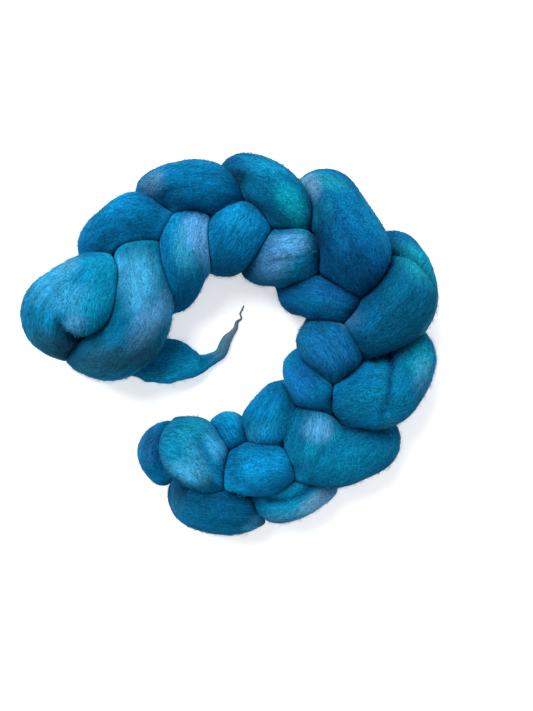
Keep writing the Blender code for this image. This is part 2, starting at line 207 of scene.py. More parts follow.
# Where the dye took differently, and a few patches of painted shade and painted light: strand,
# middle in plan, half-lengths, turn, dye and strength
Patch = namedtuple("Patch", "strand x y long wide turn dye strength")
PATCHES = [
    Patch("knob", -118, 30, 28, 17, 45, "azure", 0.45),
    Patch("knob", -110, 50, 8, 5, 30, "slate", 0.8),
    Patch("knob", -100, 58, 7, 5, 0, "ocean", 0.7),
    Patch("knob", -119, 39, 17, 9, 40, "sky", 0.6),
    Patch("knob", -106, 30, 12, 7, 20, "sky", 0.55),
    Patch("knob", -103, 17, 7, 5, 40, "lilac", 0.6),
    Patch("knob", -131, 20, 16, 9, 95, "deep", 0.7),
    Patch("knob", -117, 4, 18, 9, -20, "dusk", 0.8),
    Patch("last_leg", -69, 38, 20, 10, 95, "sky", 0.95),
    Patch("last_leg", -65, 19, 19, 7, 56, "lilac", 0.85),
    Patch("last_leg", -88, -2, 26, 10, 8, "dusk", 0.85),
    Patch("last_leg", -64, 3, 16, 9, 60, "dusk", 0.6),
    Patch("last_leg", -68, 12, 12, 4, 50, "slate", 0.6),
    Patch("last_leg", -79, 12, 11, 7, 60, "ocean", 0.6),
    Patch("last_leg", -81, 46, 11, 6, 90, "sky", 0.8),
    Patch("last_leg", -49, 6, 9, 6, 60, "slate", 0.9),
    Patch("link_A", -97, 68, 14, 8, 60, "ocean", 0.6),
    Patch("link_A", -40, 71, 9, 8, 0, "lilac", 0.95),
    Patch("link_A", -35, 64, 15, 6.5, 95, "lilac", 0.9),
    Patch("link_A", -45.5, 56, 18, 7, 97, "aqua", 0.8),
    Patch("link_A", -45, 58, 12, 6, 97, "sky", 0.55),
    Patch("link_A", -56, 74, 9, 5, 35, "bright", 0.7),
    Patch("link_A", -90, 63, 9, 6, 45, "deep", 0.6),
    Patch("link_A", -80, 89, 12, 5, 35, "bright", 0.5),
    Patch("link_A", -37, 65, 8, 7, 0, "lilac", 1.0),
    Patch("link_A", -45, 36, 13, 8, 90, "ocean", 0.8),
    Patch("link_B", -65, 97, 9, 8, 60, "slate", 1.0),
    Patch("link_B", -53, 90, 8, 7, 0, "moss", 0.4),
    Patch("link_B", -15, 77, 13, 9, -30, "bright", 0.9),
    Patch("link_B", -24, 53, 10, 8, 60, "moss", 0.5),
    Patch("link_C", -18, 99, 7, 12, -60, "moss", 1.0),
    Patch("link_C", -2, 105, 14, 6, -20, "aqua", 0.6),
    Patch("link_C", 16, 81, 15.5, 8, -52, "green", 1.0),
    Patch("link_C", 4, 78, 12, 6, -25, "moss", 0.45),
    Patch("link_C", 13, 62, 13, 7, 0, "lilac", 0.7),
    Patch("link_C", 4, 52, 11, 8, 15, "mauve", 0.9),
    Patch("link_D", 36, 97, 12, 6, -30, "leaf", 0.8),
    Patch("link_D", 30, 78, 9, 6, 80, "leaf", 0.5),
    Patch("link_D", 22, 95, 9.5, 8, 70, "haze", 1.0),
    Patch("link_D", 18, 99, 9, 7, 0, "haze", 1.0),
    # painted shade along D's left crease
    Patch("link_D", 33, 64, 20, 5, 98, "indigo", 0.75),
    Patch("link_D", 48, 78, 18, 7, -60, "azure", 0.8),
    Patch("link_D", 60, 72, 20, 5, -65, "aqua", 0.35),
    # painted shade on D's lower side, away from the key lamp
    Patch("link_D", 50, 47, 13, 10, -60, "indigo", 0.75),
    Patch("link_D", 40, 48, 8, 6, -40, "indigo", 0.6),
    Patch("link_D", 11, 27, 9, 5, 0, "indigo", 0.6),
    Patch("link_D", 34, 36, 14, 6, -20, "cobalt", 0.8),
    Patch("link_E", 80, 52, 17, 9, -50, "leaf", 0.85),
    Patch("link_E", 92, 50, 16, 5, -60, "green", 0.4),
    Patch("link_E", 70, 42, 12, 9, -50, "teal", 0.4),
    # painted light on E's right edge, a rim that faces away from the lamps
    Patch("link_E", 99, 29, 18, 5, 92, "sky", 0.6),
    Patch("link_E", 93, 14, 8, 6, 60, "sky", 0.5),
    Patch("link_E", 46, 20, 7, 6, 0, "mauve", 0.4),
    Patch("link_E", 36, 4, 15, 13, 0, "cobalt", 0.6),
    Patch("link_F", 87, 0, 15, 9, 100, "green", 0.8),
    Patch("link_F", 88, -12, 12, 7, 85, "slate", 0.5),
    Patch("link_F", 20, -14, 12, 9, 70, "cobalt", 0.7),
    Patch("link_F", 74, -45, 9, 6, -45, "slate", 0.4),
    # painted shade on F's lower left, by the crease with G
    Patch("link_F", 48, -32, 9, 7, 0, "deep", 0.6),
    Patch("link_G", -1, -28, 12, 9, 50, "azure", 0.9),
    Patch("link_G", -3, -47, 9, 7, 0, "sky", 0.35),
    # painted shade in the crease between the inner and the round G
    Patch("round_G", 20, -42, 10, 6, 80, "deep", 0.6),
    Patch("round_G", 19, -63, 8, 5, 60, "deep", 0.6),
    # painted shade on H's left end, beside its crease with link J
    Patch("middle_H", -18, -61, 10, 6, 95, "ocean", 0.8),
    Patch("round_G", 29, -41, 8, 7, 0, "lilac", 0.75),
    Patch("round_G", 33, -41, 5, 4, -60, "lilac", 0.7),
    Patch("link_I", 12, -80, 21, 7, 12, "aqua", 1.0),
    Patch("link_I", 31, -83.5, 15, 6, 35, "haze", 0.9),
    Patch("link_I", 6, -95, 12, 5, 10, "slate", 0.6),
    Patch("link_I", -19, -45, 9, 9, 0, "bright", 0.6),
    Patch("link_I", 11, -73, 14, 6, 15, "aqua", 0.8),
    Patch("link_G", 2, -47, 11, 7, 0, "bright", 0.9),
    Patch("link_J", -54, -85, 12, 6, 60, "dusk", 0.6),
    Patch("link_J", -4, -97, 9, 5, 25, "sky", 0.8),
    Patch("link_J", -38, -54, 18, 17, 0, "teal", 0.8),
    Patch("link_J", -44, -41, 15, 7, 10, "leaf", 0.55),
    # painted light on link J's right edge, lifting the shade of its crease with H
    Patch("link_J", -27, -60, 15, 6, 100, "bright", 0.7),
    Patch("link_J", -39.5, -55.5, 10, 5, -60, "sky", 0.5),
    Patch("link_J", -24, -52, 7, 5, 0, "sky", 0.5),
    Patch("link_J", -54, -37, 10, 7, 40, "deep", 0.7),
    Patch("link_J", -50, -54, 9, 8, 0, "aqua", 0.6),
    Patch("link_J", -42.5, -65, 11, 6.5, -22, "sky", 1.0),
    Patch("link_J", -29.5, -51.5, 9, 3.5, 112, "sky", 0.6),
    Patch("start_side", -70, -52, 14, 7, 90, "mauve", 0.2),
    Patch("loose_end", -25, 9, 13, 8, 60, "pewter", 0.85),
    Patch("loose_end", -18, 23, 13, 7, 70, "ash", 1.0),
]


# ---------------------------------------------------------------- noise
def lattice(ix, iy, seed):
    h = (ix.astype(np.int64) * 374761393 + iy.astype(np.int64) * 668265263
         + seed * 2246822519) & 0xFFFFFFFF
    h = ((h ^ (h >> 13)) * 1274126177) & 0xFFFFFFFF
    return (h ^ (h >> 16)) / 4294967295.0


def noise(u, v, seed, period=None):
    """Smooth noise from about -1 to 1. It repeats in v after `period` cells, where given."""
    u, v = np.broadcast_arrays(np.asarray(u, float), np.asarray(v, float))
    iu, iv = np.floor(u), np.floor(v)
    fu, fv = u - iu, v - iv
    su, sv = fu * fu * fu * (fu * (fu * 6 - 15) + 10), fv * fv * fv * (fv * (fv * 6 - 15) + 10)

    def corner(a, b):
        jv = iv + b
        if period:
            jv = np.mod(jv, period)
        turn = lattice(iu + a, jv, seed) * 2 * math.pi
        return np.cos(turn) * (fu - a) + np.sin(turn) * (fv - b)

    low = corner(0, 0) * (1 - su) + corner(1, 0) * su
    high = corner(0, 1) * (1 - su) + corner(1, 1) * su
    return (low * (1 - sv) + high * sv) * 1.55


def smoothstep(a, b, x):
    t = np.clip((x - a) / (b - a), 0, 1)
    return t * t * (3 - 2 * t)


def smooth_min(a, b, k):
    h = np.maximum(k - np.abs(a - b), 0) / k
    return np.minimum(a, b) - h * h * k / 4


def smooth_max(a, b, k):
    return -smooth_min(-a, -b, k)


# ---------------------------------------------------------------- runs and sweeps
def smooth_run(stations, per_span=24):
    """Catmull-Rom run through rows of numbers."""
    rows = np.array([stations[0]] + list(stations) + [stations[-1]], float)
    t = (np.arange(per_span) / per_span)[:, None]
    run = []
    for before, a, b, after in zip(rows, rows[1:], rows[2:], rows[3:]):
        run.append(0.5 * (2 * a + (b - before) * t + (2 * before - 5 * a + 4 * b - after) * t ** 2
                          + (3 * a - before - 3 * b + after) * t ** 3))
    run.append(rows[-1:])
    return np.concatenate(run)


def resample(run, step):
    arc = np.concatenate([[0], np.cumsum(np.linalg.norm(np.diff(run[:, :3], axis=0), axis=1))])
    count = max(4, int(round(arc[-1] / step)) + 1)
    even = np.linspace(0, arc[-1], count)
    return np.stack([np.interp(even, arc, run[:, c]) for c in range(run.shape[1])], 1), even


def unit(v):
    return v / np.maximum(np.linalg.norm(v, axis=-1, keepdims=True), 1e-12)


def frames_along(centres, first_up):
    """A tangent and two cross directions at each centre, turning as little as possible."""
    tangent = unit(np.gradient(centres, axis=0))
    up = first_up - np.dot(first_up, tangent[0]) * tangent[0]
    ups = [unit(up)]
    for i in range(1, len(centres)):
        v1 = centres[i] - centres[i - 1]
        c1 = np.dot(v1, v1)
        r = ups[-1] - (2 / c1) * np.dot(v1, ups[-1]) * v1
        t = tangent[i - 1] - (2 / c1) * np.dot(v1, tangent[i - 1]) * v1
        v2 = tangent[i] - t
        c2 = np.dot(v2, v2)
        ups.append(unit(r - (2 / c2) * np.dot(v2, r) * v2 if c2 > 1e-12 else r))
    ups = np.array(ups)
    return tangent, ups, np.cross(tangent, ups)


class Strand:
    """A fold of wool as a closed tube: rings of points round a run, with domed ends."""

    def __init__(self, name, stations, seed, step=RING_STEP, sector=SECTOR_STEP):
        self.name, self.seed = name, seed
        self.head = None
        run, arc = resample(smooth_run(stations), step)
        centres, radius = run[:, :3], run[:, 3]
        tangent, up, side = frames_along(centres, np.array([0, 0, 1.0]))
        crown = int(np.argmax(centres[:, 2] + radius))          # there the first sector looks up
        turn = math.atan2(side[crown, 2], up[crown, 2])
        up, side = (up * math.cos(turn) + side * math.sin(turn),
                    side * math.cos(turn) - up * math.sin(turn))
        self.samples, self.sample_radius, self.sample_arc = centres, radius, arc
        self.sectors = max(20, int(2 * math.pi * radius.max() / sector) // 2 * 2)
        self.turn = np.arange(self.sectors)[None, :] / self.sectors
        angle = self.turn[0] * 2 * math.pi
        self.round = 2 * math.pi * float(radius.mean())
        ring = (up[:, None] * np.cos(angle)[None, :, None]
                + side[:, None] * np.sin(angle)[None, :, None])

        def dome(end, sign):
            count = max(3, int(round(radius[end] * math.pi / 2 / step)))
            lift = (np.arange(1, count) / count) * math.pi / 2
            return lift, (ring[end][None] * np.cos(lift)[:, None, None]
                          + sign * tangent[end] * np.sin(lift)[:, None, None])

        low_lift, low = dome(0, -1)
        high_lift, high = dome(-1, 1)
        self.centre = np.concatenate([np.repeat(centres[:1], len(low), 0), centres,
                                      np.repeat(centres[-1:], len(high), 0)])
        self.radius = np.concatenate([np.repeat(radius[:1], len(low)), radius,
                                      np.repeat(radius[-1:], len(high))])
        self.way = np.concatenate([low[::-1], ring, high])
        self.arc = np.concatenate([np.zeros(len(low)), arc, np.repeat(arc[-1], len(high))])
        self.s = np.concatenate([-low_lift[::-1] * radius[0], arc,
                                 arc[-1] + high_lift * radius[-1]])
        self.poles = [(centres[0], -tangent[0]), (centres[-1], tangent[-1])]
        self.rows = len(self.s)

        # fibres run along the fold, with a slow twist and waves
        s, few, some = self.s[:, None], self.cells(26), self.cells(9)
        self.fibre = (self.turn + 0.020 * noise(s / 30, self.turn * few, seed * 17 + 1, few)
                      + 0.008 * noise(s / 11, self.turn * some, seed * 17 + 2, some)
                      + 0.0006 * s)

    def leg(self, arc):
        """Of a link, -1 on one leg, 1 on the other and 0 round the head between them."""
        arc = np.asarray(arc)
        if self.head is None:
            return np.zeros(arc.shape)
        return np.sign(arc - self.head) * (np.abs(arc - self.head) > HEAD_RADIUS)

    def cells(self, width):
        """How many noise cells of about that width go round the fold."""
        return max(3, int(round(self.round / width)))

    def grain(self, along, width, salt, fibre=True):
        """Noise stretched along the fibres."""
        count = self.cells(width)
        round_it = self.fibre if fibre else self.turn
        return noise(self.s[:, None] / along, round_it * count, self.seed * 17 + salt, count)


# ---------------------------------------------------------------- every strand of the braid
fold = {f.name: np.array(f.sections, float) for f in FOLDS}
necks = {outer: (fold[outer][0] + fold[inner][0]) / 2 for outer, inner in LINKS}
order = [outer for outer, inner in LINKS]


def link_run(outer, inner):
    """Both legs of a link and the head that joins their tips under the newer link."""
    newer = order[order.index(outer) - 1]
    on = unit((necks[newer] - necks[outer])[:2]) * HEAD_REACH
    a, b = fold[outer], fold[inner]
    middle = (a[-1] + b[-1]) / 2
    head = [middle[0] + on[0], middle[1] + on[1], HEAD_HEIGHT, HEAD_RADIUS]
    return list(a) + [head] + list(b[::-1])


strands = []
for k, (outer, inner) in enumerate(LINKS):
    if k:
        run = link_run(outer, inner)
        link = Strand("link_" + outer[-1], run, 10 + k)
        middle = np.array(run[len(fold[outer])][:3])
        link.head = link.sample_arc[np.linalg.norm(link.samples - middle, axis=1).argmin()]
        strands.append(link)
for k, name in enumerate(["start_side", "middle_H", "round_G"]):
    strands.append(Strand(name, fold[name], 40 + k))
for k, name in enumerate(["last_leg", "knob", "knob_crown"]):
    strands.append(Strand(name, fold[name], 43 + k, step=1.15, sector=0.8))

back = []
for a, b in zip(order[:0:-1], order[-2::-1]):
    low, middle = necks[a], (necks[a] + necks[b]) / 2
    back += [(low[0], low[1], HEAD_HEIGHT, BUMP_RADIUS),
             (middle[0], middle[1], BUMP_HEIGHT, BUMP_RADIUS)]
newest = necks["last_leg"]
back.append((newest[0], newest[1], HEAD_HEIGHT, BUMP_RADIUS))
strands.append(Strand("back_run", back, 60, step=2.6, sector=2.0))
strands.append(Strand("core", [(n[0], n[1], CORE_HEIGHT, CORE_RADIUS) for n in necks.values()],
                      61, step=3.0, sector=2.4))
strands.append(Strand("bed", [(n[0], n[1], BED_HEIGHT, BED_RADIUS)
                              for n in list(necks.values())[1:-1]] + [(-6, -82, -4, 8.5)],
                      62, step=3.0, sector=2.4))
by_name = {s.name: s for s in strands}
number = {s.name: k for k, s in enumerate(strands)}

SPHERE = (np.concatenate([s.samples for s in strands]),
          np.concatenate([s.sample_radius for s in strands]),
          np.concatenate([np.full(len(s.samples), k) for k, s in enumerate(strands)]),
          np.concatenate([s.sample_arc for s in strands]),
          np.concatenate([s.leg(s.sample_arc) for s in strands]))
# Lobes of one fold flow together; the number is how far from the valley it begins
FLOWS_INTO = {"knob": ("knob_crown", 17.0), "knob_crown": ("knob", 17.0),
              "round_G": ("link_G", 7.0), "link_G": ("round_G", 7.0)}


def settle(points):
    """Nothing goes below the table, and what would lies flat on it."""
    z = points[..., 2]
    points[..., 2] = 0.5 * (z + np.sqrt(z * z + FLOOR_BLEND ** 2))


def blurred(field):
    """Softens a (row, sector) field; the sectors go round."""
    field = np.concatenate([field[:1], (field[:-2] + 2 * field[1:-1] + field[2:]) / 4,
                            field[-1:]])
    return (np.roll(field, 1, 1) + 2 * field + np.roll(field, -1, 1)) / 4


def felted(x, y):
    """How far a crease is felted over at each place in plan: 1 wholly, below 0 pinched hard."""
    amount = np.zeros(x.shape)
    for spot in FELTED:
        c, s = math.cos(math.radians(spot.turn)), math.sin(math.radians(spot.turn))
        a, b = x - spot.x, y - spot.y
        far = np.sqrt(((a * c + b * s) / spot.long) ** 2 + ((b * c - a * s) / spot.wide) ** 2)
        amount += smoothstep(1.5, 0.5, far) * spot.amount
    return np.clip(amount, -1, 1)


def press(strand):
    """Lets a strand fill the space that its neighbours leave it, out to its own full width.

    Every point goes out from the run until it meets the surface, or the border where it is as
    deep in a neighbour as in its own strand.
    """
    centre, radius, owner, arc, leg = SPHERE
    own = number[strand.name]
    mate_name, merge_fill = FLOWS_INTO.get(strand.name, ("", 1.0))
    shape = (strand.rows, strand.sectors)
    strand.reach, strand.to_fold, strand.to_lobe = np.empty(shape), np.empty(shape), np.empty(shape)
    strand.felt = np.empty(shape)
    for i in range(strand.rows):
        c, r, dirs = strand.centre[i], strand.radius[i], strand.way[i].astype(np.float32)
        near = np.linalg.norm(centre - c, axis=1) < radius + 2.0 * r + 8
        mine = owner == own
        mate = near & (owner == number.get(mate_name, -1))
        rest = near & ~mine & ~mate & (owner != number["bed"])
        rest |= near & mine & (leg * strand.leg(strand.arc[i]) < 0)
        body = mine & (np.abs(arc - strand.arc[i]) <= 0.75 * r)
        groups = []
        for chosen in (body, rest, mate):
            away = (centre[chosen] - c).astype(np.float32)
            groups.append((dirs @ away.T, (away * away).sum(1), radius[chosen].astype(np.float32)))

        def depth(t, group):
            lean, far, size = group
            if not len(size):
                return np.full(len(t), 99.0)
            gap = t[:, None] * (t[:, None] - 2 * lean) + far
            return (np.sqrt(np.maximum(gap, 1e-6)) - size).min(1)

        t = np.full(strand.sectors, 0.5 * r)
        up = smoothstep(-0.1, 0.5, dirs[:, 2])
        for _ in range(17):
            felt = felted(c[0] + dirs[:, 0] * t, c[1] + dirs[:, 1] * t)
            soft = np.clip(felt, 0, 1)
            fill = CREASE_FILL[0] + (CREASE_FILL[1] - CREASE_FILL[0]) * up
            fill = fill + (FELT_FILL - fill) * soft
            shoulder = (SHOULDER[0] + (SHOULDER[1] - SHOULDER[0]) * up) * (1 - np.minimum(felt, 0))
            shoulder = shoulder + (FELT_SHOULDER - shoulder) * soft
            inside, others, lobe = (depth(t, g) for g in groups)
            skin = smooth_min(smooth_min(inside, others, fill), lobe, merge_fill)
            wall = (inside - others + CONTACT_GAP) / 2
            skin = smooth_max(skin, wall, shoulder)
            t = np.clip(t - 1.2 * smooth_max(skin, (inside - lobe) / 2 - SEAM, 0.5),
                        0.08 * r, 2.0 * r)
        strand.reach[i], strand.felt[i] = t, felt
        strand.to_fold[i] = (others - inside) / 2          # how far to the border with a fold
        strand.to_lobe[i] = (lobe - inside) / 2
    strand.reach = blurred(strand.reach)
    strand.reach -= 0.04 * np.exp(np.clip(-strand.to_lobe, -9, SEAM) / 0.8)
    # painted shade: the dye darkens towards the border with another fold, less where the crease is
    # felted over
    strand.near_crease = smoothstep(8.0, 0.2, strand.to_fold) ** 1.5 * (1 - 0.7 * strand.felt)
    strand.open = smoothstep(0.2, 2.0, strand.to_fold) * smoothstep(-SEAM, 0.5, strand.to_lobe)


def distance_to_line(x, y, line):
    """How far each place in plan is from a line, and how far along the line from 0 to 1."""
    best, along = np.full(x.shape, 1e9), np.zeros(x.shape)
    line = smooth_run(line, 8)
    total = len(line) - 1
    for k, (a, b) in enumerate(zip(line, line[1:])):
        d = b - a
        t = np.clip(((x - a[0]) * d[0] + (y - a[1]) * d[1]) / max(d @ d, 1e-9), 0, 1)
        gap = np.hypot(x - a[0] - t * d[0], y - a[1] - t * d[1])
        nearer = gap < best
        best, along = np.where(nearer, gap, best), np.where(nearer, (k + t) / total, along)
    return best, along


def grow(strand):
    """Turns a pressed strand into points, with its lumps, locks and small creases."""
    relief = (0.55 * strand.grain(24, 19, 3, fibre=False) + 0.20 * strand.grain(11, 8, 7, False)
              + 0.13 * strand.grain(36, 6.5, 4) + 0.08 * strand.grain(18, 3.0, 5))
    out = strand.reach
    points = strand.centre[:, None] + strand.way * out[..., None]
    strand.carved = np.zeros_like(out)
    upper = smoothstep(0.0, 0.35, strand.way[..., 2])
    for trough in TROUGHS:
        if strand.name != trough.strand and not (trough.strand == "knob"
                                                 and strand.name == "knob_crown"):
            continue
        gap, along = distance_to_line(points[..., 0], points[..., 1], trough.line)
        fade = (smoothstep(0, 0.5, along) if trough.strand == "knob"
                else smoothstep(0, 0.15, along) * smoothstep(1, 0.6, along))
        strand.carved += np.exp(-(gap / trough.width) ** 1.6) * fade * upper * trough.depth
    out = out + relief * strand.open - strand.carved
    strand.points = strand.centre[:, None] + strand.way * out[..., None]
    strand.ends = np.array([centre + way * out[row].mean()
                            for (centre, way), row in zip(strand.poles, (0, -1))])
    settle(strand.points)
    settle(strand.ends)
    if strand.name == "bed":
        strand.points[..., 2] += 0.4
        strand.ends[..., 2] += 0.4


def surface_frame(strand):
    """Along-fold direction and outward normal at every point of a strand."""
    along = np.gradient(strand.points, axis=0)
    p = np.concatenate([strand.points[:, -1:], strand.points, strand.points[:, :1]], 1)
    across = (p[:, 2:] - p[:, :-2]) / 2
    normal = np.cross(across, along)
    strand.cell_area = np.linalg.norm(normal, axis=-1)
    normal = unit(normal)
    flip = np.sign((normal * strand.way).sum(-1, keepdims=True))
    strand.along, strand.normal = unit(along), normal * np.where(flip == 0, 1, flip)


for strand in strands:
    press(strand)
    grow(strand)
    surface_frame(strand)

# ---------------------------------------------------------------- the loose end
wisp = Strand("loose_end", [(x, y, r, r) for x, y, r in LOOSE_END], 70, step=0.7, sector=1.4)
out = wisp.radius[:, None] * (1 + 0.05 * wisp.grain(9, 7, 3) + 0.05 * wisp.grain(14, 3, 4)
                              + 0.04 * wisp.grain(5, 2, 5))
wisp.points = wisp.centre[:, None] + wisp.way * out[..., None]
wisp.points[..., 2] = wisp.points[..., 2] * END_FLATNESS - 0.3
leg = by_name["last_leg"]
clear = np.full(wisp.points.shape[:2], 1e9)
for q, r in zip(leg.samples, leg.sample_radius):
    clear = np.minimum(clear, np.linalg.norm(wisp.points - q, axis=-1) - r - 0.35)
# each line of it starts where it comes out from under the last leg
for j in range(wisp.sectors):
    inside = np.nonzero(clear[:, j] < 0)[0]
    start = 0.0
    if len(inside):
        i = min(inside[-1], wisp.rows - 2)
        start = i + clear[i, j] / (clear[i, j] - clear[i + 1, j] + 1e-9)
    where = start + (wisp.rows - 1 - start) * np.linspace(0, 1, wisp.rows)
    for axis in range(3):
        wisp.points[:, j, axis] = np.interp(where, np.arange(wisp.rows), wisp.points[:, j, axis])
settle(wisp.points)
wisp.ends = np.array([wisp.points[0].mean(0), wisp.points[-1].mean(0)
                      + unit(wisp.poles[1][1]) * 0.3])
settle(wisp.ends)
wisp.open = np.ones((wisp.rows, wisp.sectors))
# painted shade where the loose end comes out from under the last leg, fading over its first 8 mm
wisp.near_crease = 0.4 * smoothstep(8, 0, wisp.s)[:, None] * np.ones((1, wisp.sectors))
wisp.carved = np.zeros((wisp.rows, wisp.sectors))
surface_frame(wisp)


# ---------------------------------------------------------------- dye, and painted shade
def dye_and_shade_strand(strand):
    """Hand-painted dye: two colours blended along the fibres, then the patches over them, a few of
    them painted shade and painted light; then painted shade low down and in the creases.
    """
    a, b = (np.array(DYES[d]) for d in STRAND_DYES[strand.name])
    blend = smoothstep(-0.5, 0.5, strand.grain(45, 16, 11) + 0.5 * strand.grain(22, 4, 12))
    colour = a * (1 - blend[..., None]) + b * blend[..., None]
    feather = 0.55 * strand.grain(20, 5, 13) + 0.45 * strand.grain(12, 2.2, 14)
    upper = smoothstep(-0.35, 0.15, strand.normal[..., 2])
    for patch in PATCHES:
        if strand.name != patch.strand and not (patch.strand == "knob"
                                                and strand.name == "knob_crown"):
            continue
        c, s = math.cos(math.radians(patch.turn)), math.sin(math.radians(patch.turn))
        x, y = strand.points[..., 0] - patch.x, strand.points[..., 1] - patch.y
        far = np.sqrt(((x * c + y * s) / patch.long) ** 2 + ((y * c - x * s) / patch.wide) ** 2)
        share = smoothstep(1.45, 0.35, far + 0.22 * feather) * patch.strength * upper
        colour = colour * (1 - share[..., None]) + np.array(DYES[patch.dye]) * share[..., None]
    depth = 1 + 0.15 * strand.grain(26, 6, 15) + 0.12 * strand.grain(16, 2.6, 16)
    # painted shade: the dye is darker low down, towards the table, except on the loose end
    if strand is not wisp:
        depth *= 0.72 + 0.28 * smoothstep(2, 14, strand.points[..., 2])
    strand.fibre_dye = np.clip(colour * depth[..., None], 0.0005, 0.9)
    # painted shade: darker in the creases between folds and in the small troughs, a little bluer
    painted_shade = 0.50 * strand.near_crease + 0.45 * np.clip(strand.carved / 3, 0, 1)
    strand.dye = strand.fibre_dye * (1 - np.clip(painted_shade[..., None] * CREASE_SHADE_TINT, 0, 0.9))


for strand in strands + [wisp]:
    dye_and_shade_strand(strand)


# ---------------------------------------------------------------- materials
def wool_material(name, bump, brighten):
    """Combed wool: streaks of dye and relief along the fibres, dull, with a soft coloured sheen."""
    material = bpy.data.materials.new(name)
    material.use_nodes = True
    tree = material.node_tree
    nodes, link = tree.nodes, tree.links.new
    shader = nodes["Principled BSDF"]

    def math_node(kind, a, b, clamp=False):
        node = nodes.new("ShaderNodeMath")
        node.operation, node.use_clamp = kind, clamp
        for socket, value in zip(node.inputs, (a, b)):
            if isinstance(value, (int, float)):
                socket.default_value = value
            else:
                link(value, socket)
        return node.outputs[0]

    def attribute(key):
        node = nodes.new("ShaderNodeAttribute")
        node.attribute_name = key
        return node

    def vector_node(kind, a, b):
        node = nodes.new("ShaderNodeVectorMath")
        node.operation = kind
        for socket, value in zip(node.inputs, (a, b)):
            if isinstance(value, tuple):
                socket.default_value = value
            else:
                link(value, socket)
        return node.outputs[0]

    def streaks(where, along, width, detail, rough):
        """Noise with cells that long and that wide, in millimetres, along the fibres."""
        texture = nodes.new("ShaderNodeTexNoise")
        texture.inputs["Scale"].default_value = 1.0
        texture.inputs["Detail"].default_value = detail
        texture.inputs["Roughness"].default_value = rough
        link(vector_node("MULTIPLY", where, (1 / along, 1 / width, 1 / width)),
             texture.inputs["Vector"])
        return texture.outputs["Fac"]

    place = attribute("fib").outputs["Vector"]
    wander = nodes.new("ShaderNodeTexNoise")            # crimp: every fibre wanders a little
    wander.inputs["Scale"].default_value = 0.16
    wander.inputs["Detail"].default_value = 1.0
    link(place, wander.inputs["Vector"])
    centred = vector_node("SUBTRACT", wander.outputs["Color"], (0.5, 0.5, 0.5))
    place = vector_node("ADD", place, vector_node("MULTIPLY", centred, (0.0, 2.2, 2.2)))
    parted = nodes.new("ShaderNodeSeparateXYZ")
    link(place, parted.inputs[0])

    def turned(slope):
        """The same place, sheared round the fold, so that streaks run at a slant."""
        node = nodes.new("ShaderNodeVectorRotate")
        node.rotation_type = "X_AXIS"
        link(place, node.inputs["Vector"])
        link(math_node("MULTIPLY", parted.outputs["X"], slope), node.inputs["Angle"])
        return node.outputs["Vector"]

    left = streaks(turned(0.033), 2.1, 0.5, 1.5, 0.6)
    right = streaks(turned(-0.030), 2.4, 0.5, 1.5, 0.6)
    hair = streaks(place, 8.0, 0.5, 1.0, 0.5)
    broad = streaks(place, 20.0, 2.6, 1.0, 0.5)
    felt = streaks(place, 0.62, 0.58, 1.5, 0.6)
    # each noise is centred on a half, so that this factor is centred on one
    tone = math_node("ADD", 1.0 - 0.5 * (1.1 + 1.1 + 0.65 + 0.2 + 2.2),
                     math_node("MULTIPLY", left, 1.1))
    for texture, share in ((right, 1.1), (hair, 0.65), (broad, 0.2), (felt, 2.2)):
        tone = math_node("ADD", tone, math_node("MULTIPLY", texture, share))
    tone = math_node("MULTIPLY", tone, brighten)
    # the colour attribute holds the dye with painted shade in the creases and low down
    shade = nodes.new("ShaderNodeVectorMath")
    shade.operation = "SCALE"
    link(attribute("dye").outputs["Color"], shade.inputs[0])
    link(tone, shade.inputs["Scale"])
    # a few pale fibres that took less dye
    pale = math_node("MULTIPLY", math_node("SUBTRACT", hair, 0.60, True), 0.6, True)
    lifted = nodes.new("ShaderNodeMix")
    lifted.data_type = "RGBA"
    link(pale, lifted.inputs["Factor"])
    link(shade.outputs[0], lifted.inputs["A"])
    lifted.inputs["B"].default_value = (0.03, 0.40, 0.66, 1)
    link(lifted.outputs["Result"], shader.inputs["Base Color"])
    link(math_node("ADD", math_node("MULTIPLY", felt, 0.16), 0.82), shader.inputs["Roughness"])
    shader.inputs["Diffuse Roughness"].default_value = 0.6
    shader.inputs["Specular IOR Level"].default_value = 0.02
    shader.inputs["Sheen Weight"].default_value = 0.07
    shader.inputs["Sheen Roughness"].default_value = 0.4
    shader.inputs["Sheen Tint"].default_value = (0.13, 0.43, 0.65, 1)
    if bump:
        height = math_node("ADD", math_node("ADD", math_node("MULTIPLY", left, 0.4),
                                            math_node("MULTIPLY", right, 0.4)),
                           math_node("MULTIPLY", felt, 0.35))
        node = nodes.new("ShaderNodeBump")
        node.inputs["Strength"].default_value = bump
        node.inputs["Distance"].default_value = 0.0006
        link(height, node.inputs["Height"])
        link(node.outputs["Normal"], shader.inputs["Normal"])
    return material


WOOL = wool_material("combed_wool", 0.5, 1.0)
FUZZ = wool_material("loose_fibres", 0.0, 1.1)


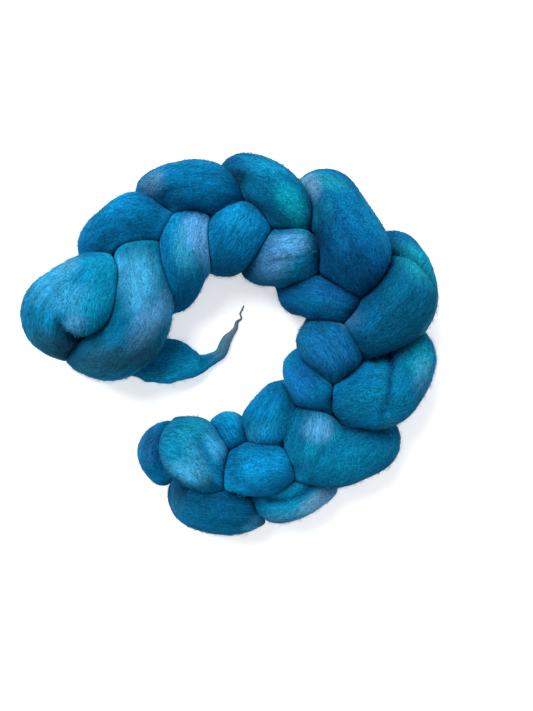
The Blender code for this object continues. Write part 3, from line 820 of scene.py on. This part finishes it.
def make_piece(name, points, faces, uv, attributes, material, smooth=True):
    """points in table millimetres; faces is a list of (n, corners) arrays; uv is per corner."""
    mesh = bpy.data.meshes.new(name)
    metres = (points + PLAN_SHIFT) * MM
    mesh.vertices.add(len(metres))
    mesh.vertices.foreach_set("co", metres.astype(np.float32).ravel())
    corners = np.concatenate([f.ravel() for f in faces])
    sizes = np.concatenate([np.full(len(f), f.shape[1]) for f in faces])
    mesh.loops.add(len(corners))
    mesh.loops.foreach_set("vertex_index", corners.astype(np.int32))
    mesh.polygons.add(len(sizes))
    mesh.polygons.foreach_set("loop_start", np.concatenate([[0], np.cumsum(sizes)[:-1]])
                              .astype(np.int32))
    mesh.polygons.foreach_set("use_smooth", np.full(len(sizes), smooth))
    mesh.update(calc_edges=True)
    layer = mesh.uv_layers.new(name="OFBake")
    layer.data.foreach_set("uv", np.concatenate([u.reshape(-1, 2) for u in uv])
                           .astype(np.float32).ravel())
    for key, kind, values in attributes:
        slot = {"FLOAT_VECTOR": "vector", "FLOAT_COLOR": "color"}[kind]
        mesh.attributes.new(key, kind, "POINT").data.foreach_set(
            slot, values.astype(np.float32).ravel())
    mesh.materials.append(material)
    piece = bpy.data.objects.new(name, mesh)
    bpy.context.scene.collection.objects.link(piece)
    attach(piece, "root")
    return piece


def with_ends(grid, ends):
    return np.concatenate([grid.reshape(-1, grid.shape[-1]), ends])


def opaque(colour):
    return np.concatenate([colour, np.ones((len(colour), 1))], 1)


def fibre_space(strand):
    """A place for streaks: along the fold, and a circle round it, so that there is no seam."""
    angle = strand.fibre * 2 * math.pi
    size = strand.round / (2 * math.pi)
    s = np.repeat(strand.s[:, None], strand.sectors, 1) + strand.seed * 100
    grid = np.stack([s, np.cos(angle) * size, np.sin(angle) * size], -1)
    return grid


def tube_surface(group):
    """One mesh from several strands, each with its own band of the texture square."""
    points, faces, uvs, places, dyes_and_shade, first = [], [], [], [], [], 0
    share = np.array([s.round for s in group])
    share = share / share.sum()
    band = np.concatenate([[0], np.cumsum(share)])
    longest = max(s.s[-1] - s.s[0] for s in group)
    for s, base, height in zip(group, band, share):
        n, last = s.sectors, s.rows - 1
        points.append(with_ends(s.points, s.ends))
        place = fibre_space(s)
        places.append(with_ends(place, np.array([place[0].mean(0), place[-1].mean(0)])))
        dyes_and_shade.append(with_ends(s.dye, np.array([s.dye[0].mean(0), s.dye[-1].mean(0)])))
        i, j = np.meshgrid(np.arange(last), np.arange(n), indexing="ij")
        i, j, k = i.ravel(), j.ravel(), np.arange(n)
        after = (j + 1) % n
        low, high = first + s.rows * n, first + s.rows * n + 1
        top = first + last * n
        faces += [first + np.stack([i * n + j, i * n + after, (i + 1) * n + after,
                                    (i + 1) * n + j], 1),
                  np.stack([first + (k + 1) % n, first + k, np.full(n, low)], 1),
                  np.stack([top + k, top + (k + 1) % n, np.full(n, high)], 1)]
        u = 0.01 + 0.98 * (s.s - s.s[0]) / longest
        v, step = base + 0.02 * height, 0.96 * height / n
        uvs += [np.stack([np.stack([u[i], v + j * step], 1),
                          np.stack([u[i], v + (j + 1) * step], 1),
                          np.stack([u[i + 1], v + (j + 1) * step], 1),
                          np.stack([u[i + 1], v + j * step], 1)], 1),
                np.stack([np.stack([u[0] + 0 * k, v + (k + 1) * step], 1),
                          np.stack([u[0] + 0 * k, v + k * step], 1),
                          np.stack([u[0] - 0.004 + 0 * k, v + (k + 0.5) * step], 1)], 1),
                np.stack([np.stack([u[-1] + 0 * k, v + k * step], 1),
                          np.stack([u[-1] + 0 * k, v + (k + 1) * step], 1),
                          np.stack([u[-1] + 0.004 + 0 * k, v + (k + 0.5) * step], 1)], 1)]
        first += s.rows * n + 2
    return (np.concatenate(points), faces, uvs,
            [("fib", "FLOAT_VECTOR", np.concatenate(places)),
             ("dye", "FLOAT_COLOR", opaque(np.concatenate(dyes_and_shade)))])


GROUPS = {
    "braid_start": ["link_J", "link_I", "link_G", "start_side", "middle_H", "round_G",
                    "back_run", "core", "bed"],
    "braid_curve": ["link_F", "link_E", "link_D"],
    "braid_top": ["link_C", "link_B", "link_A"],
    "braid_knob": ["last_leg", "knob", "knob_crown"],
}
for piece_name, members in GROUPS.items():
    piece = make_piece(piece_name, *tube_surface([by_name[m] for m in members]), WOOL)
    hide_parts("braid")
wisp_piece = make_piece("wisp", *tube_surface([wisp]), WOOL)
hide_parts("loose_end")


# ---------------------------------------------------------------- loose fibres on the surface
def sample(grid, row, column):
    """Reads a (row, sector) grid between its points; the sectors go round."""
    rows, columns = grid.shape[:2]
    row = np.clip(row, 0, rows - 1.001)
    i, j = np.floor(row).astype(int), np.floor(column).astype(int)
    a, b = row - i, column - j
    if grid.ndim == 3:
        a, b = a[..., None], b[..., None]
    j0, j1 = j % columns, (j + 1) % columns
    return ((grid[i, j0] * (1 - b) + grid[i, j1] * b) * (1 - a)
            + (grid[i + 1, j0] * (1 - b) + grid[i + 1, j1] * b) * a)


def start_places(strand, count, rng, low=0.6):
    """Random places on the open surface, evenly spread by area."""
    chance = strand.cell_area * (strand.open > 0.9) * (strand.points[..., 2] > low)
    chance = chance.ravel() / chance.sum()
    cell = rng.choice(len(chance), count, p=chance)
    return (cell // strand.sectors + rng.random(count) - 0.5,
            cell % strand.sectors + rng.random(count) - 0.5)


def lying_fibres(strand, count, rng, steps=7, length=(5, 17), loft=0.22):
    """Fibres that lie along the fold, a little off its direction and off its surface."""
    row, column = start_places(strand, count, rng)
    reach = rng.uniform(*length, count) * rng.choice([-1, 1], count)
    slope = rng.normal(0, 0.30, count)
    bend = rng.normal(0, 0.35, count)
    step = (strand.s[-1] - strand.s[0]) / (strand.rows - 1)
    waves = strand.fibre - strand.turn
    t = np.linspace(0, 1, steps)[None, :]

    def path(reach):
        along = reach[:, None] * t
        rows = row[:, None] + along / step
        drift = (slope[:, None] + bend[:, None] * t) * along / strand.round * strand.sectors
        columns = column[:, None] + drift
        wave = sample(waves, rows, columns) - sample(waves, row, column)[:, None]
        return rows, columns - wave * strand.sectors

    rows, columns = path(reach)
    fine = (sample(strand.open, rows, columns) > 0.6) & (rows > 0) & (rows < strand.rows - 1)
    whole = np.cumprod(fine, 1).sum(1) / steps
    keep = whole > 0.3
    row, column, slope, bend = row[keep], column[keep], slope[keep], bend[keep]
    rows, columns = path(reach[keep] * whole[keep])
    p = sample(strand.points, rows, columns)
    n = unit(sample(strand.normal, rows, columns))
    side = np.cross(unit(sample(strand.along, rows, columns)), n)
    count = len(p)
    crimp = rng.uniform(0.05, 0.45, count)[:, None] * np.sin(
        2 * math.pi * (rng.uniform(1.0, 2.6, count)[:, None] * t + rng.random(count)[:, None]))
    lift = np.abs(rng.normal(0, loft, count))[:, None] * np.sin(math.pi * t) ** 0.8 + 0.01
    p = p + n * lift[..., None] + side * crimp[..., None]
    tone = rng.uniform(0.75, 1.55, count)[:, None, None]
    return (p, sample(strand.fibre_dye, rows, columns) * tone, rng.uniform(0.035, 0.07, count))


def flying_fibres(strand, count, rng, steps=3, length=(1.8, 4.6), low=0.6):
    """Short ends that stand a little off the surface and curl back."""
    row, column = start_places(strand, count, rng, low)
    p0, n = sample(strand.points, row, column), unit(sample(strand.normal, row, column))
    along = unit(sample(strand.along, row, column)) * rng.choice([-1, 1], count)[:, None]
    side = np.cross(n, along)
    out = rng.uniform(0.05, 0.95, count)[:, None]
    way = unit(along + side * rng.normal(0, 0.55, count)[:, None] + n * out)
    curl = side * rng.normal(0, 0.8, count)[:, None] - n * rng.uniform(-0.2, 0.6, count)[:, None]
    reach = rng.uniform(*length, count)[:, None, None]
    t = np.linspace(0, 1, steps)[None, :, None]
    p = p0[:, None] + reach * (t * way[:, None] + 0.5 * t * t * curl[:, None])
    dye = sample(strand.fibre_dye, row, column) * rng.uniform(0.75, 1.4, count)[:, None]
    return p, np.repeat(dye[:, None], steps, 1), np.full(count, 0.05)


def fibre_mesh(batches, uv_cells):
    """Closed three-sided tubes round the fibres, tapered at both ends."""
    points, faces, uvs, places, dyes_and_shade, first, cell = [], [], [], [], [], 0, 0
    for p, dye, radius in batches:
        count, steps = p.shape[:2]
        p = p.copy()
        p[..., 2] = np.maximum(p[..., 2], 0.12)
        way = unit(np.gradient(p, axis=1))
        side = unit(np.cross(way, np.array([0.13, 0.21, 0.97])))
        up = np.cross(side, way)
        t = np.linspace(0, 1, steps)
        taper = 0.35 + 0.65 * np.sin(math.pi * np.clip(t * 0.94 + 0.03, 0, 1)) ** 0.5
        angle = np.arange(3) * 2 * math.pi / 3
        ring = (side[:, :, None] * np.cos(angle)[:, None] + up[:, :, None]
                * np.sin(angle)[:, None]) * (radius[:, None] * taper[None])[..., None, None]
        grid = p[:, :, None] + ring
        points.append(grid.reshape(-1, 3))
        base = first + np.arange(count)[:, None, None] * steps * 3
        i, k = np.arange(steps - 1)[None, :, None], np.arange(3)[None, None, :]
        m = (k + 1) % 3
        quads = np.stack([base + i * 3 + k, base + i * 3 + m, base + (i + 1) * 3 + m,
                          base + (i + 1) * 3 + k], -1).reshape(-1, 4)
        caps0 = (first + np.arange(count) * steps * 3)[:, None] + np.array([2, 1, 0])
        caps1 = ((first + np.arange(count) * steps * 3)[:, None] + (steps - 1) * 3
                 + np.array([0, 1, 2]))
        faces += [quads, caps0, caps1]
        number_of = cell + np.arange(count)
        x0, y0 = (number_of % uv_cells) / uv_cells, (number_of // uv_cells) / uv_cells
        wide, tall = 0.9 / uv_cells, 0.9 / uv_cells / 3
        u = x0[:, None, None] + wide * i / (steps - 1) + 0 * k
        v = y0[:, None, None] + tall * k + 0 * i
        du, dv = wide / (steps - 1), tall
        uvs += [np.stack([np.stack([u, v], -1), np.stack([u, v + dv], -1),
                          np.stack([u + du, v + dv], -1), np.stack([u + du, v], -1)],
                         -2).reshape(-1, 2)]
        corner = np.stack([x0, y0], 1)[:, None]
        uvs += [(corner + np.array([[0, 0], [0, tall], [0.02 / uv_cells, 0]])).reshape(-1, 2),
                (corner + np.array([[wide, 0], [wide, tall], [wide - 0.02 / uv_cells, 0]]))
                .reshape(-1, 2)]
        spot = np.stack([np.broadcast_to(t * 20, (count, steps)),
                         np.broadcast_to((number_of * 7.3)[:, None], (count, steps)),
                         np.zeros((count, steps))], -1)
        places.append(np.repeat(spot.reshape(-1, 3), 3, 0))
        dyes_and_shade.append(np.repeat(dye.reshape(-1, 3), 3, 0))
        first += count * steps * 3
        cell += count
    return (np.concatenate(points), faces, uvs,
            [("fib", "FLOAT_VECTOR", np.concatenate(places)),
             ("dye", "FLOAT_COLOR", opaque(np.concatenate(dyes_and_shade)))])


FUZZ_GROUPS = {
    "fuzz_start": (["link_J", "link_I", "link_G", "start_side", "middle_H", "round_G"], 1750, 6700),
    "fuzz_curve": (["link_F", "link_E", "link_D"], 1700, 6400),
    "fuzz_top": (["link_C", "link_B", "link_A"], 1450, 5700),
    "fuzz_knob": (["last_leg", "knob", "knob_crown"], 1150, 4700),
}
for k, (piece_name, (members, lying, flying)) in enumerate(FUZZ_GROUPS.items()):
    rng = np.random.default_rng(900 + k)
    group = [by_name[m] for m in members]
    area = np.array([(s.cell_area * (s.open > 0.9)).sum() for s in group])
    area = area / area.sum()
    batches = []
    for s, share in zip(group, area):
        batches.append(lying_fibres(s, max(8, int(lying * share)), rng))
        batches.append(flying_fibres(s, max(8, int(flying * share)), rng))
    cells = int(math.ceil(math.sqrt(sum(len(b[0]) for b in batches))))
    piece = make_piece(piece_name, *fibre_mesh(batches, cells), FUZZ)
    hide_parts("braid")

rng = np.random.default_rng(990)
batches = [lying_fibres(wisp, 160, rng, length=(10, 30), loft=0.3),
           flying_fibres(wisp, 140, rng, length=(3, 8), low=0.3)]
wisp_fuzz = make_piece("wisp_fuzz", *fibre_mesh(batches, 20), FUZZ)
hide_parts("loose_end")


# ---------------------------------------------------------------- studio
def lamp(name, place, size, power):
    light = bpy.data.lights.new(name, "AREA")
    light.shape = "DISK"
    light.size = size
    light.energy = power
    thing = bpy.data.objects.new(name, light)
    thing.location = place
    thing.rotation_euler = Vector(place).to_track_quat("Z", "Y").to_euler()
    bpy.context.scene.collection.objects.link(thing)


lamp("key", (-0.55, 0.75, 0.85), 1.0, 24.6)
lamp("fill", (0.6, -0.2, 1.2), 1.0, 2)
lamp("low", (0.75, -0.75, 0.30), 1.2, 1.4)
lamp("side", (1.1, 0.15, 0.35), 1.0, 1.5)
world = bpy.data.worlds.new("studio")
bpy.context.scene.world = world
world.use_nodes = True
sky = world.node_tree.nodes["Background"]
sky.inputs["Color"].default_value = (0.97, 0.98, 1.0, 1)
sky.inputs["Strength"].default_value = 0.30

bpy.ops.mesh.primitive_plane_add(size=6.0, location=(0, 0, -0.0002))
floor = bpy.context.active_object
floor.name = "floor"
paper = bpy.data.materials.new("pale_floor")
paper.use_nodes = True
paper.node_tree.nodes["Principled BSDF"].inputs["Base Color"].default_value = (0.9, 0.9, 0.9, 1)
paper.node_tree.nodes["Principled BSDF"].inputs["Roughness"].default_value = 0.9
paper.node_tree.nodes["Principled BSDF"].inputs["Emission Color"].default_value = (1, 1, 1, 1)
paper.node_tree.nodes["Principled BSDF"].inputs["Emission Strength"].default_value = 0.50
floor.data.materials.append(paper)
bpy.context.scene.view_settings.view_transform = "Standard"
